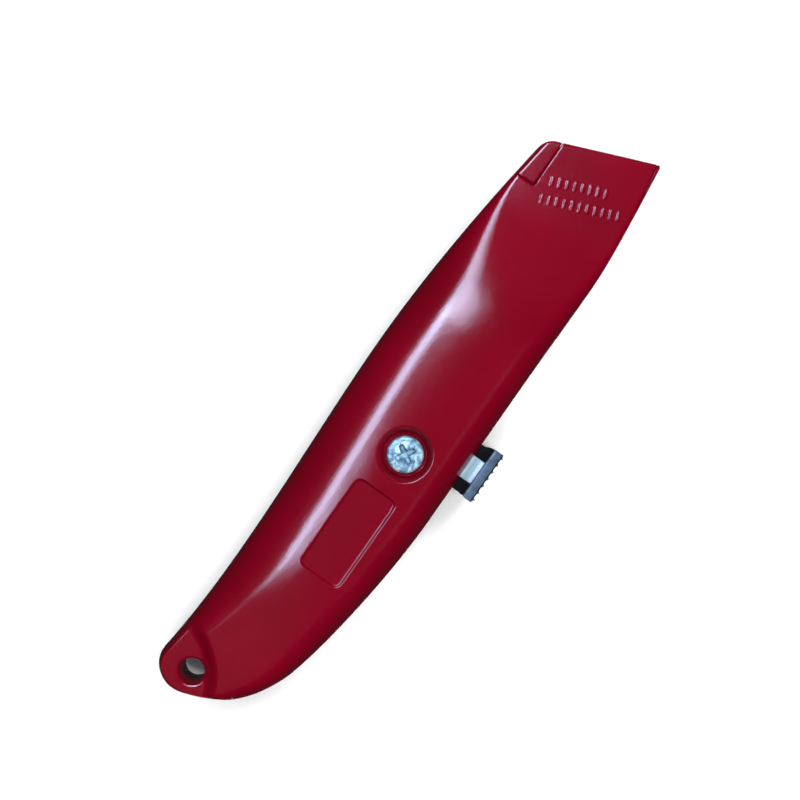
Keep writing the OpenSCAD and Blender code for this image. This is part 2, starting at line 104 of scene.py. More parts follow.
def skin_points(rows, base, depth=0.0, features=()):
    """The outside of a half, a grid of cross-sections. Each goes from the seam at the belly over an
    elliptic shoulder, a crowned face and the back's shoulder to the seam again. The shoulders end at
    the crown's own slope, so the face flows into them. Towards the nose the sections lean over until
    the last lies in the slanted front. depth moves the skin inwards, and features change its height."""
    t = np.linspace(0, 1, 23)
    part = np.concatenate([np.zeros(2), t[:-1], 1 + np.linspace(0, 1, 112)[:-1],
                           2 + np.linspace(0, 1, 18), [3, 3]])
    lean = ease((rows - 124) / 27)[:, None]
    w = np.broadcast_to(part, (len(rows), len(part)))
    y = np.full(w.shape, 15.0)
    for _ in range(6):
        x = rows[:, None] - lean * (y - FRONT[1]) * math.tan(SLANT)
        yb = np.minimum(np.interp(x, BELLY[:, 0], BELLY[:, 1]), 31.0) - depth
        yk = back_y(x) + depth
        rim = along(x, 1.5, 0.8, 3.7)
        rise = np.sqrt(1 - (1 - np.clip(x / 3.6, 0, 1)) ** 2)
        top = rim + (along(x, 7.3, 9.5, 4.9) - rim) * rise - depth
        most = 0.45 * (yb - yk)
        wb = np.minimum(most, np.maximum(1.2, along(x, 3.8, 10, 1.2, 104) - depth))
        wk = np.minimum(most, np.maximum(1.2, along(x, 3.8, 5.5, 1.2) - depth))
        flat = yb - yk - wb - wk
        crown = 0.35 * along(x, 0.5, 1, 0) * np.minimum(1, flat / 14) ** 2
        foot = np.minimum(rim, top - 0.4)
        rise_h = top - crown - foot
        ends = []
        for width in (wb, wk):
            a = np.full(x.shape, math.pi / 2)
            for _ in range(3):
                a = np.arctan2(1, 4 * crown / flat * width / rise_h * np.sin(a) / (1 - np.cos(a)))
            ends.append(a)
        ab, ak = ends
        tb, tf, tk = np.clip(w, 0, 1), np.clip(w - 1, 0, 1), np.clip(3 - w, 0, 1)
        y = np.where(w <= 1, yb - wb * (1 - np.cos(ab * tb)) / (1 - np.cos(ab)),
                     np.where(w < 2, yb - wb - flat * tf,
                              yk + wk * (1 - np.cos(ak * tk)) / (1 - np.cos(ak))))
    z = np.where(w <= 1, foot + rise_h * np.sin(ab * tb) / np.sin(ab),
                 np.where(w < 2, foot + rise_h + crown * (1 - (2 * tf - 1) ** 2),
                          foot + rise_h * np.sin(ak * tk) / np.sin(ak)))
    for feature in features:
        z = feature(x, y, z)
    inside = (FRONT[0] - x) * math.cos(SLANT) - (y - FRONT[1]) * math.sin(SLANT)
    z = z - FRONT_ROLL + np.sqrt(FRONT_ROLL ** 2 - np.clip(FRONT_ROLL - inside, 0, FRONT_ROLL) ** 2)
    z[:, 0] = z[:, -1] = base
    z[:, 1] = z[:, -2] = max(base, 0) + 0.12
    y[:, 0] -= 0.12 * (base >= 0)
    y[:, -1] += 0.12 * (base >= 0)
    return np.stack([x, y, z], axis=-1)


def signed_volume(points, faces):
    """Sum of the signed tetrahedra under the faces, each face fanned from its first corner."""
    total = 0.0
    for f in faces:
        p = points[list(f)]
        total += np.einsum("ij,ij->", np.cross(p[1:-1], p[2:]), np.broadcast_to(p[0], p[1:-1].shape))
    return total


def new_piece(name, points, faces):
    """A mesh object from millimetre points and faces, turned inside out if its volume is negative."""
    points = np.asarray(points, float).reshape(-1, 3)
    if signed_volume(points, faces) < 0:
        faces = [tuple(reversed(f)) for f in faces]
    mesh = bpy.data.meshes.new(name)
    mesh.from_pydata(to_row(points).tolist(), [], faces)
    made = bpy.data.objects.new(name, mesh)
    bpy.context.scene.collection.objects.link(made)
    return made


def tube_faces(rows, cols):
    """Quads of a closed tube of rows by cols points, with a many-sided face at each end."""
    i, j = np.meshgrid(np.arange(rows - 1), np.arange(cols), indexing="ij")
    a, b = i * cols + j, i * cols + (j + 1) % cols
    quads = np.stack([a, b, b + cols, a + cols], axis=-1).reshape(-1, 4).tolist()
    first, last = tuple(range(cols))[::-1], tuple(range((rows - 1) * cols, rows * cols))
    return [tuple(q) for q in quads] + [first, last]


def skin(name, rows, base, side, depth=0.0, features=()):
    """A half's outside closed along the seam, above it for side 1 and below for side -1."""
    grid = skin_points(np.asarray(rows, float), base, depth, features) * [1, 1, side]
    return new_piece(name, grid, tube_faces(*grid.shape[:2]))


def stack(name, outline, levels, side=1):
    """A block from one outline: at each (height, growth) it is moved out along its corners' normals.
    Side -1 puts the heights below the seam."""
    outline = np.asarray(outline, float)
    ahead, behind = np.roll(outline, -1, 0) - outline, outline - np.roll(outline, 1, 0)
    n1 = np.stack([ahead[:, 1], -ahead[:, 0]], 1) / np.linalg.norm(ahead, axis=1)[:, None]
    n2 = np.stack([behind[:, 1], -behind[:, 0]], 1) / np.linalg.norm(behind, axis=1)[:, None]
    out = (n1 + n2) / (1 + np.sum(n1 * n2, axis=1))[:, None]
    area = np.sum(outline[:, 0] * np.roll(outline[:, 1], -1) - np.roll(outline[:, 0], -1) * outline[:, 1])
    out *= np.sign(area)
    points = [np.column_stack([outline + g * out, np.full(len(outline), side * z)]) for z, g in levels]
    return new_piece(name, np.vstack(points), tube_faces(len(levels), len(outline)))


def rounded(corners):
    """A polygon whose (x, y, r) corners are arcs of radius r, tangent to both sides."""
    pts = np.array(corners, float)
    made = []
    for k, (x, y, r) in enumerate(pts):
        p = np.array([x, y])
        if r == 0:
            made.append(p)
            continue
        u = pts[k - 1, :2] - p
        v = pts[(k + 1) % len(pts), :2] - p
        u, v = u / np.linalg.norm(u), v / np.linalg.norm(v)
        half = math.acos(np.clip(u @ v, -1, 1)) / 2
        mid = (u + v) / np.linalg.norm(u + v)
        centre = p + mid * r / math.sin(half)
        a, b = p + u * r / math.tan(half) - centre, p + v * r / math.tan(half) - centre
        turn = math.acos(np.clip(a @ b / r ** 2, -1, 1))
        for t in np.linspace(0, 1, 11):
            made.append(centre + (np.sin((1 - t) * turn) * a + np.sin(t * turn) * b) / np.sin(turn))
    return made


def block(name, low, high):
    """A plain cutter between two corners, in millimetres."""
    (x0, y0, z0), (x1, y1, z1) = low, high
    return stack(name, [[x0, y0], [x1, y0], [x1, y1], [x0, y1]], [(z0, 0), (z1, 0)])


def combine(piece, others, operation="DIFFERENCE"):
    """Cuts the others out of the piece, or joins or intersects them, and removes them."""
    for other in others:
        m = piece.modifiers.new("join", "BOOLEAN")
        m.operation, m.solver, m.object = operation, "MANIFOLD", other
    graph = bpy.context.evaluated_depsgraph_get()
    mesh = bpy.data.meshes.new_from_object(piece.evaluated_get(graph))
    mesh.materials.clear()
    mesh.polygons.foreach_set("material_index", np.zeros(len(mesh.polygons), np.int32))
    piece.modifiers.clear()
    old, piece.data = piece.data, mesh
    bpy.data.meshes.remove(old)
    for other in others:
        bpy.data.objects.remove(other)
    return piece


def solid_copy(node):
    """A closed copy of a CAD node, its split corners welded, to be used up as a cutter."""
    mesh = nodes[node].data.copy()
    work = bmesh.new()
    work.from_mesh(mesh)
    bmesh.ops.remove_doubles(work, verts=work.verts, dist=1e-6)
    work.to_mesh(mesh)
    work.free()
    made = bpy.data.objects.new(node + "_copy", mesh)
    bpy.context.scene.collection.objects.link(made)
    return made


def smooth(piece, degrees=32):
    """Smooth shading, with edges sharper than this left hard."""
    piece.data.polygons.foreach_set("use_smooth", np.ones(len(piece.data.polygons), bool))
    piece.data.set_sharp_from_angle(angle=math.radians(degrees))


def land(x, y, z):
    """The thin land round the hang hole: level inside a circle of 14.4 mm radius, then an eased slope
    3.4 mm wide."""
    t = ease((np.hypot(x + 1.4, y - 32.4) - 14.4) / 3.4)
    return np.where(z > LAND_Z, LAND_Z + (z - LAND_Z) * t, z)


def rest_flat(x, y, z):
    """The ground flat that the knife lies on."""
    return np.minimum(z, FLAT_Z)


def steps(*spans):
    """Places along the handle: from, to and spacing for each span."""
    return np.unique(np.round(np.concatenate([np.arange(a, b, s) for a, b, s in spans]), 4))


def front_rows():
    """The last cross-sections, closer and closer to the slanted front."""
    return FRONT[0] - FRONT_ROLL * (1 - np.cos(np.radians([75, 60, 45, 30, 15, 0]))) / math.cos(SLANT)


def tail_rows():
    """The first cross-sections, closer and closer to the flat tail end."""
    bow = 0.1 + 3.5 * (1 - np.cos(np.radians(np.linspace(0, 90, 26))))
    return np.concatenate([bow, steps((3.8, 6.5, 0.25))])


def rim_levels(way):
    """Levels of a stack whose rim at the nose's face, 4.9 mm up, is rolled by 0.35 mm: inwards for a
    piece, way -1, and outwards for the cutter of its notch, way 1."""
    return [(-1.0, 0)] + [(4.9 - 0.35 + 0.35 * math.sin(b), way * 0.35 * (1 - math.cos(b)))
                          for b in np.radians([0, 22, 45, 67, 90])] + [(6, way * 0.35)]


def blade_slit(z_from, z_to):
    """The cutter of the blade's way out through the nose, between two heights about the seam."""
    return block("slit", (118, 4.2, z_from), (PAST_X, 23.8, z_to))


def hang_bore(side):
    """The hang hole, its rim rolled over by 0.7 mm at the land."""
    t = np.radians(np.arange(0, 360, 5))
    ring = np.column_stack([HOLE[0] + 2.7 * np.cos(t), HOLE[1] + 2.7 * np.sin(t)])
    roll = [(LAND_Z - 0.7 + 0.7 * math.sin(b), 0.7 * (1 - math.cos(b)))
            for b in np.radians([0, 18, 36, 54, 72, 90])]
    return stack("hang_bore", ring, [(-1, 0)] + roll + [(7, 0.7)], side)


def corner_round(corner, behind, ahead, r):
    """What a corner of the plan loses when its two sides, given as directions, meet in an arc of
    radius r; the rim at the face is rolled over as well."""
    c, u, v = (np.array(p, float) for p in (corner, behind, ahead))
    u, v = u / np.linalg.norm(u), v / np.linalg.norm(v)
    out = -(u + v) / np.linalg.norm(u + v)
    reach = 1.05 * r / math.tan(math.acos(u @ v) / 2)
    a, b = c + reach * u, c + reach * v
    outline = rounded([(*a, 0), (*c, r), (*b, 0), (*(b + 3 * out), 0), (*(a + 3 * out), 0)])
    return stack("corner_round", outline,
                 [(-12, 0), (4.55, 0), (4.68, 0.02), (4.8, 0.1), (4.88, 0.2), (6, 0.3)])


# The room is what lies 0.8 mm or more inside the skin and isn't solid in the CAD half, so ribs, pegs and
# bosses stay as they are there. The claws are the tab and the lip, cut from an upper skin.
rows = np.concatenate([tail_rows(), steps((6.5, 18, 0.3), (18, 124, 1.0), (124, 150.2, 0.5)), front_rows()])
lower = skin("lower_casing_shell", rows, 0, -1, features=(land, rest_flat))
room = skin("room", np.arange(12.6, 131, 2.5), -1, -1, 0.8, (land, rest_flat))
combine(room, [solid_copy("lower_casing")])
combine(lower, [room, hang_bore(-1), block("slot", (SLOT[0], PAST_BACK, -2.9), (SLOT[1], 2.81, 0.01)),
                blade_slit(-0.4, 0.01), block("seat_way", (120, 4.6, -1.95), (138.8, 20.3, 0.01))])
lip_y = float(back_y(LIP_X))
lip_end = lip_y + (PAST_X - LIP_X) * math.tan(LIP_SLOPE)
tab = stack("tab", rounded([(TAB_X, PAST_BELLY, 0), (TAB_X, TAB_Y, 0.5), (PAST_X, TAB_Y, 0),
                            (PAST_X, PAST_BELLY, 0)]), rim_levels(-1))
lip = stack("lip", rounded([(LIP_X, PAST_BACK, 0), (PAST_X, PAST_BACK, 0), (PAST_X, lip_end, 0),
                            (LIP_X, lip_y, 0.4)]), rim_levels(-1))
claws = skin("claws", np.concatenate([steps((130, 150.2, 0.5)), front_rows()]), -0.5, 1)
combine(claws, [combine(tab, [lip], "UNION")], "INTERSECT")
combine(claws, [blade_slit(-0.4, 0.4)])
combine(lower, [claws], "UNION")
NOSE_CORNERS = [((141.53, 26.36), (-1, 0.14), (0.3746, -0.9272), 4.2),
                ((151.0, 2.9), (-1, -0.13), (-0.3746, 0.9272), 0.7)]
combine(lower, [corner_round(*c) for c in NOSE_CORNERS])
smooth(lower)


def linear(hexa):
    """A hex sRGB colour as linear RGBA."""
    c = np.array([int(hexa[i:i + 2], 16) for i in (0, 2, 4)]) / 255
    c = np.where(c <= 0.04045, c / 12.92, ((c + 0.055) / 1.055) ** 2.4)
    return (*c.tolist(), 1.0)


def add(tree, kind, links=None, **values):
    """A shader node: links maps an input name to another node's output, values set inputs by name or
    the node's own properties."""
    made = tree.nodes.new(kind)
    for key, value in values.items():
        name = key.replace("_", " ")
        found = next((s for s in made.inputs if s.name.lower() == name.lower()), None)
        if hasattr(made, key):
            setattr(made, key, value)
        else:
            found.default_value = value
    for name, output in (links or {}).items():
        tree.links.new(output, made.inputs[name])
    return made


def start(name):
    """A new material, its emptied node tree, and the object coordinates that the textures read."""
    material = bpy.data.materials.new(name)
    material.use_nodes = True
    tree = material.node_tree
    tree.nodes.clear()
    return material, tree, tree.nodes.new("ShaderNodeTexCoord").outputs["Object"]


def finish_with(tree, shader):
    """Joins the shader to a new material output."""
    tree.links.new(shader.outputs[0], tree.nodes.new("ShaderNodeOutputMaterial").inputs[0])


def ramp(tree, fac, stops):
    """A colour ramp through (place, colour) stops."""
    made = add(tree, "ShaderNodeValToRGB", {"Fac": fac})
    while len(made.color_ramp.elements) < len(stops):
        made.color_ramp.elements.new(0.5)
    for element, (place, colour) in zip(made.color_ramp.elements, stops):
        element.position, element.color = place, colour
    return made


enamel, tree, place = start("enamel")
clouds = add(tree, "ShaderNodeTexNoise", {"Vector": place}, scale=45.0, detail=3.0, roughness=0.5)
tint = ramp(tree, clouds.outputs[0],
            [(0.3, linear("680014")), (0.55, linear("6e0017")), (0.75, linear("740019"))])
# Pale pink specks at a few random cells are painted glints: small highlights of the paint's sparkle, mixed
# into its colour.
cells = add(tree, "ShaderNodeTexVoronoi", {"Vector": place}, scale=260.0)
seed = add(tree, "ShaderNodeSeparateColor", {"Color": cells.outputs["Color"]})
glint_cells = add(tree, "ShaderNodeMath", {0: seed.outputs[0]}, operation="GREATER_THAN")
glint_cells.inputs[1].default_value = 0.93
near = add(tree, "ShaderNodeMath", {0: cells.outputs["Distance"]}, operation="LESS_THAN")
near.inputs[1].default_value = 0.075
glint_specks = add(tree, "ShaderNodeMath", {0: glint_cells.outputs[0], 1: near.outputs[0]}, operation="MULTIPLY")
colour = add(tree, "ShaderNodeMix", {"Factor": glint_specks.outputs[0]}, data_type="RGBA")
tree.links.new(tint.outputs[0], colour.inputs["A"])
# The pale colour of the painted glints.
colour.inputs["B"].default_value = linear("d9a0b0")
peel = add(tree, "ShaderNodeTexNoise", {"Vector": place}, scale=2600.0, detail=2.0, roughness=0.6)
grain = add(tree, "ShaderNodeTexNoise", {"Vector": place}, scale=4200.0, detail=1.0, roughness=0.5)
flow = add(tree, "ShaderNodeTexNoise", {"Vector": place}, scale=110.0, detail=2.0, roughness=0.5)
bump1 = add(tree, "ShaderNodeBump", {"Height": peel.outputs[0]}, strength=0.2, distance=0.00009)
bump2 = add(tree, "ShaderNodeBump", {"Height": grain.outputs[0], "Normal": bump1.outputs[0]},
            strength=0.16, distance=0.00006)
bump3 = add(tree, "ShaderNodeBump", {"Height": flow.outputs[0], "Normal": bump2.outputs[0]},
            strength=0.05, distance=0.001)
rough = add(tree, "ShaderNodeMapRange", {"Value": clouds.outputs[0]}, to_min=0.42, to_max=0.5)
gloss = add(tree, "ShaderNodeBsdfPrincipled",
            {"Base Color": colour.outputs["Result"], "Roughness": rough.outputs[0],
             "Normal": bump3.outputs[0], "Coat Normal": bump3.outputs[0]},
            specular_ior_level=0.01, coat_weight=0.8, coat_roughness=0.12)
finish_with(tree, gloss)
lower.data.materials.append(enamel)
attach(lower, "casing")
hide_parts("lower_casing")

# ---------------------------------------------------------------- spare blades and blade
# Trapezoid blades of ground tool steel, 61 x 19 x 0.6 mm, stamped, hardened and ground to an edge along
# the long side. They keep the CAD meshes, brushed along the blade with duller patches.


def steel(name, light, dark, rough_low, rough_high, along_scale, across_scale, metallic=1.0):
    """Brushed metal: noise drawn out along X gives the lines in colour and bump, and a noise of its own
    gives the dull patches."""
    material, tree, place = start(name)
    drawn = add(tree, "ShaderNodeMapping", {"Vector": place})
    drawn.inputs["Scale"].default_value = (along_scale, across_scale, across_scale)
    lines = add(tree, "ShaderNodeTexNoise", {"Vector": drawn.outputs[0]}, scale=1.0, detail=4.0,
                roughness=0.6)
    patches = add(tree, "ShaderNodeTexNoise", {"Vector": place}, scale=180.0, detail=3.0)
    shade = ramp(tree, lines.outputs[0], [(0.3, linear(dark)), (0.7, linear(light))])
    rough = add(tree, "ShaderNodeMapRange", {"Value": patches.outputs[0]}, to_min=rough_low,
                to_max=rough_high)
    bump = add(tree, "ShaderNodeBump", {"Height": lines.outputs[0]}, strength=0.35, distance=0.00002)
    metal = add(tree, "ShaderNodeBsdfPrincipled",
                {"Base Color": shade.outputs[0], "Roughness": rough.outputs[0], "Normal": bump.outputs[0]},
                metallic=metallic)
    finish_with(tree, metal)
    return material


blade_steel = steel("blade_steel", "c9cdd4", "9ea3ab", 0.22, 0.38, 300, 9000)
for name in ["working_blade"] + [n for n in nodes if n.startswith("spare_blade")]:
    nodes[name].data.materials.clear()
    nodes[name].data.materials.append(blade_steel)

# ---------------------------------------------------------------- slide
# Carrier of folded zinc-plated steel, a turned steel pin for the button, and a blued leaf spring held
# in the carrier's block: the pin bears on its flank and bends it, which lifts its tooth off the rail.
for name, look in [("blade_carrier", ("carrier_steel", "b9bab8", "8d8f90", 0.3, 0.5, 600, 2500)),
                   ("button_pin", ("pin_steel", "c2c6cc", "9a9ea6", 0.2, 0.35, 4000, 4000))]:
    nodes[name].data.materials.clear()
    nodes[name].data.materials.append(steel(*look))

leaf_x = np.arange(67.0, 84.0, 0.5)           # corners along the leaf, so that it can bend
LEAF_IN, LEAF_OUT = 7.65, 8.15                # its two faces
leaf_outline = rounded([(66.05, 2.05, 0.1), (66.95, 2.05, 0.1), (66.95, 3.45, 0.1), (66.55, 3.45, 0.1),
                        (66.55, LEAF_IN, 0.2)] + [(x, LEAF_IN, 0) for x in leaf_x] +
                       [(84, LEAF_IN, 0), (84, LEAF_OUT, 0)] +
                       [(x, LEAF_OUT, 0) for x in leaf_x[::-1]] + [(66.05, LEAF_OUT, 0.5)])
spring = stack("lock_spring_leaf", leaf_outline, [(-5.3, 0), (-3.4, 0)])
smooth(spring)
spring.data.materials.append(steel("spring_steel", "5a6474", "343c48", 0.25, 0.4, 500, 5000))
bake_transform(spring)
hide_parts("lock_spring")

# ---------------------------------------------------------------- upper half
# The same casting and enamel. Its face has the dished seat of the screw, the sunk panel, and two rows of
# low bars on the nose; the paint has rounded every edge. The tab and the lip fit into its notches.
SCREW_X, SCREW_Y = 69.6, 12.5
SCREW_SEAT_Z = 7.2


def panel(x, y, z):
    """The sunk panel, 21.8 x 9.8 mm with 1.5 mm corners: its floor is level, 0.5 mm down."""
    qx, qy = np.abs(x - 49.3) - 9.4, np.abs(y - 12.9) - 3.4
    d = np.hypot(np.maximum(qx, 0), np.maximum(qy, 0)) + np.minimum(np.maximum(qx, qy), 0) - 1.5
    return z + (9.0 - z) * ease((0.28 - d) / 0.56)


def screw_seat(x, y, z):
    """The dished seat: a level floor of 4.6 mm radius, then a cone that rises 2.3 mm in 1.25 mm, rolled
    over into the face by a smooth minimum."""
    r = np.hypot(x - SCREW_X, y - SCREW_Y)
    dish = np.maximum(SCREW_SEAT_Z, SCREW_SEAT_Z + (r - 4.6) * 2.3 / 1.25)
    soft = 0.55
    h = np.clip(0.5 + 0.5 * (z - dish) / soft, 0, 1)
    return z * (1 - h) + dish * h - soft * h * (1 - h)


rows = np.concatenate([tail_rows(),
                       steps((6.5, 18, 0.25), (18, 37.5, 1.0), (37.5, 39.5, 0.1), (39.5, 59.5, 0.7),
                             (59.5, 61, 0.1), (61, 63, 0.5), (63, 76.2, 0.18), (76.2, 124, 1.0),
                             (124, 150.2, 0.4)), front_rows()])
upper = skin("upper_casing_shell", rows, 0, 1, features=(land, panel, screw_seat))
room = skin("room", steps((16, 62, 2.5), (62, 77, 0.5), (77, 131, 2.5)), -1, 1, 0.8,
            (land, panel, screw_seat))
combine(room, [solid_copy("upper_casing")])
notch_x, notch_y = TAB_X - SEAM_GAP, TAB_Y - SEAM_GAP
tab_front = FRONT[0] - (TAB_Y - SEAM_GAP - FRONT[1]) * math.tan(SLANT)
notch = rounded([(notch_x, PAST_BELLY, 0), (notch_x, notch_y, 0.4), (tab_front, notch_y, 0.5),
                 (tab_front + 1.6 * math.tan(SLANT) + 0.02, notch_y - 1.6, 0), (PAST_X, 20, 0),
                 (PAST_X, PAST_BELLY, 0)])
lip_front = FRONT[0] - (lip_y + 12.4 * math.tan(LIP_SLOPE) - FRONT[1]) * math.tan(SLANT)
lip_edge = lip_y + SEAM_GAP + (lip_front - LIP_X) * math.tan(LIP_SLOPE)
lip_notch = rounded([(LIP_X - SEAM_GAP, PAST_BACK, 0), (PAST_X, PAST_BACK, 0), (PAST_X, 6.4, 0),
                     (lip_front - 1.2 * math.tan(SLANT) + 0.02, lip_edge + 1.2, 0),
                     (lip_front, lip_edge, 0.4), (LIP_X - SEAM_GAP, lip_y + SEAM_GAP, 0.5)])
turn = np.radians(np.arange(0, 360, 7.5))
screw_ring = np.column_stack([SCREW_X + 2.2 * np.cos(turn), SCREW_Y + 2.2 * np.sin(turn)])
combine(upper, [room, hang_bore(1), block("slot", (SLOT[0], PAST_BACK, -0.01), (SLOT[1], 2.81, 2.9)),
                blade_slit(-0.01, 0.4), stack("notch", notch, rim_levels(1)),
                stack("lip_notch", lip_notch, rim_levels(1)),
                stack("screw_way", screw_ring, [(-1, 0), (8, 0)])])


def bar(cx, cy):
    """One low bar across the nose, 2.2 x 0.7 mm with half-round ends and a rolled top."""
    t = np.radians(np.arange(0, 360, 15))
    ring = np.column_stack([0.35 * np.cos(t) + 0.75 * np.sign(np.cos(t) + 1e-6), 0.35 * np.sin(t)])
    turned = ring @ np.array([[math.cos(SLANT), math.sin(SLANT)], [-math.sin(SLANT), math.cos(SLANT)]])
    return stack("bar", turned + [cx, cy], [(4.75, 0.1), (4.88, 0.08), (4.93, 0.02), (5.03, -0.02),
                                            (5.06, -0.06), (5.08, -0.16)])


BAR_PITCH = 1.55
bars = []
for count, first_y, behind in [(8, 9.2, 9.2), (11, 4.3, 13.6)]:
    for k in range(count):
        y = first_y + BAR_PITCH * k
        bars.append(bar(FRONT[0] - (y - FRONT[1]) * math.tan(SLANT) - behind, y))
combine(upper, bars, "UNION")
smooth(upper)
upper.data.materials.append(enamel)
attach(upper, "casing")
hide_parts("upper_casing")

# ---------------------------------------------------------------- screw
# Pan-head machine screw in dull, crinkled zinc plate, with a cross recess. It sits in the dished seat
# and clamps the two halves together.


def lathe(name, profile, cx, cy, turns=96):
    """A closed piece turned about a vertical axis from (radius, height) points; both ends are flat."""
    t = np.linspace(0, 2 * math.pi, turns, endpoint=False)
    points = [np.column_stack([cx + r * np.cos(t), cy + r * np.sin(t), np.full(turns, z)])
              for r, z in profile]
    return new_piece(name, np.vstack(points), tube_faces(len(profile), turns))


z0 = SCREW_SEAT_Z
profile = [(2.0, -6.1), (2.0, z0), (3.7, z0), (3.88, z0 + 0.12), (3.9, z0 + 0.5)]
profile += [(3.3 + 0.6 * math.cos(a), z0 + 1.35 + 0.55 * math.sin(a))
            for a in np.radians(np.arange(-10, 85, 12))]
profile += [(r, z0 + 1.9 + 0.19 * (1 - (r / 3.3) ** 2)) for r in (3.1, 2.7, 2.2, 1.7, 1.2, 0.8, 0.4, 0.1)]
screw = lathe("casing_screw_turned", profile, SCREW_X, SCREW_Y)
ARM_PLAN = [[-2.25, -0.5], [-1.1, -0.62], [1.1, -0.62], [2.25, -0.5], [2.35, 0],
            [2.25, 0.5], [1.1, 0.62], [-1.1, 0.62], [-2.25, 0.5], [-2.35, 0]]
ARM_LEVELS = [(z0 + 0.8, -0.3), (z0 + 1.2, -0.15), (z0 + 1.85, 0.0), (z0 + 2.0, 0.05), (z0 + 2.4, 0.25)]
arms = []
for angle in np.radians([-31, 59]):
    u = np.array([math.cos(angle), math.sin(angle)])
    v = np.array([-u[1], u[0]])
    arm = [np.array([SCREW_X, SCREW_Y]) + a * u + b * v for a, b in ARM_PLAN]
    arms.append(stack("arm", arm, ARM_LEVELS))
combine(screw, arms)
smooth(screw, 40)
zinc, tree, place = start("screw_zinc_plate")
crinkle = add(tree, "ShaderNodeTexNoise", {"Vector": place}, scale=900.0, detail=6.0, roughness=0.65,
              distortion=1.2)
coarse = add(tree, "ShaderNodeTexNoise", {"Vector": place}, scale=900.0, detail=4.0, roughness=0.6,
             distortion=0.8)
shade = ramp(tree, coarse.outputs[0],
             [(0.38, linear("3f5f73")), (0.5, linear("6c91a3")), (0.62, linear("a2c2cd"))])
rough = add(tree, "ShaderNodeMapRange", {"Value": crinkle.outputs[0]}, to_min=0.3, to_max=0.55)
bump = add(tree, "ShaderNodeBump", {"Height": crinkle.outputs[0]}, strength=0.6, distance=0.00015)
metal = add(tree, "ShaderNodeBsdfPrincipled",
            {"Base Color": shade.outputs[0], "Roughness": rough.outputs[0], "Normal": bump.outputs[0]},
            metallic=0.3)
finish_with(tree, metal)
screw.data.materials.append(zinc)
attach(screw, "casing")
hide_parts("casing_screw")

# ---------------------------------------------------------------- button
# Cast zinc thumb pad with scallops across it, on a bright post that runs in the slot between the two
# ends of a black shoe. The shoe is painted shade: its black fills the pockets between pad and casing.


def extrude_z(name, outline, half, roll):
    """A profile in x and y drawn out to both sides of the seam, its two long rims rolled over."""
    turn = np.radians([0, 30, 60, 90])
    top = [(half - roll + roll * math.sin(b), -roll * (1 - math.cos(b))) for b in turn]
    return stack(name, outline, [(-z, g) for z, g in reversed(top)] + top)


PAD_X, PAD_TOP, PAD_UNDER = 75.25, -5.1, -2.6
PAD_HALF = 6.05
SCALLOPS, SCALLOP_PITCH, SCALLOP_DEPTH = 7, 1.75, 0.55
crests = []
for k in range(SCALLOPS):
    centre = PAD_X + (k - 3) * SCALLOP_PITCH
    for t in np.linspace(0, 1, 9)[:-1 if k < SCALLOPS - 1 else None]:
        a = centre + (t - 0.5) * SCALLOP_PITCH
        bite = max(0, 1.12 * abs(math.sin(math.pi * (t - 0.5))) - 0.12) ** 0.8
        if PAD_X - 5.95 < a < PAD_X + 5.95:
            crests.append([a, PAD_TOP + SCALLOP_DEPTH * bite])
pad_outline = rounded([(PAD_X - PAD_HALF, PAD_TOP + 0.35, 0.25), (PAD_X - PAD_HALF, PAD_UNDER, 0.4),
                       (PAD_X + PAD_HALF, PAD_UNDER, 0.4), (PAD_X + PAD_HALF, PAD_TOP + 0.35, 0.25)])
pad_outline += [np.array(p) for p in reversed(crests)]
thumb = extrude_z("thumb_button_cast", pad_outline, 6.5, 0.07)
smooth(thumb, 30)
pad_zinc, tree, place = start("pad_zinc")
patches = add(tree, "ShaderNodeTexNoise", {"Vector": place}, scale=500.0, detail=4.0)
shade = ramp(tree, patches.outputs[0], [(0.38, linear("2b3d50")), (0.6, linear("43586c"))])
worn = add(tree, "ShaderNodeNewGeometry")
edge = ramp(tree, worn.outputs["Pointiness"], [(0.515, linear("000000")), (0.58, linear("ffffff"))])
spots = add(tree, "ShaderNodeTexNoise", {"Vector": place}, scale=1800.0, detail=2.0)
broken = ramp(tree, spots.outputs[0], [(0.55, linear("000000")), (0.62, linear("ffffff"))])
rub = add(tree, "ShaderNodeMath", {0: edge.outputs[0], 1: broken.outputs[0]}, operation="MULTIPLY")
colour = add(tree, "ShaderNodeMix", {"Factor": rub.outputs[0]}, data_type="RGBA")
tree.links.new(shade.outputs[0], colour.inputs["A"])
colour.inputs["B"].default_value = linear("c9d6e6")
bump = add(tree, "ShaderNodeBump", {"Height": spots.outputs[0]}, strength=0.4, distance=0.0001)
metal = add(tree, "ShaderNodeBsdfPrincipled",
            {"Base Color": colour.outputs["Result"], "Normal": bump.outputs[0]},
            metallic=0.25, roughness=0.42)
finish_with(tree, metal)
thumb.data.materials.append(pad_zinc)
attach(thumb, "button")
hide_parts("thumb_button")

POST_X0, POST_X1 = 75.0 - 2.75, 75.0 + 2.75
NECK_Y = 0.6                                  # the post narrows to its neck here
NECK_HALF = 1.9
post = extrude_z("button_post_cast", rounded([(POST_X0, PAD_UNDER - 0.3, 0), (POST_X0, NECK_Y, 0),
                                              (POST_X1, NECK_Y, 0), (POST_X1, PAD_UNDER - 0.3, 0)]),
                 2.7, 0.25)
neck = extrude_z("neck", rounded([(POST_X0, 0.5, 0), (POST_X0, 7.9, 0.2), (POST_X1, 7.9, 0.2),
                                  (POST_X1, 0.5, 0)]), NECK_HALF, 0.2)
joint_line = stack("joint_line", [[POST_X0, -1.15], [POST_X1, -1.15], [POST_X1, -0.95], [POST_X0, -0.95]],
                   [(2.6, 0), (2.72, 0)])
combine(post, [neck], "UNION")
combine(post, [joint_line])
combine(post, [solid_copy("button_pin")])
smooth(post, 30)
post.data.materials.append(steel("post_zinc", "b4d0dc", "90aebc", 0.45, 0.6, 3500, 3500, 0.2))
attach(post, "button")
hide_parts("button_post")
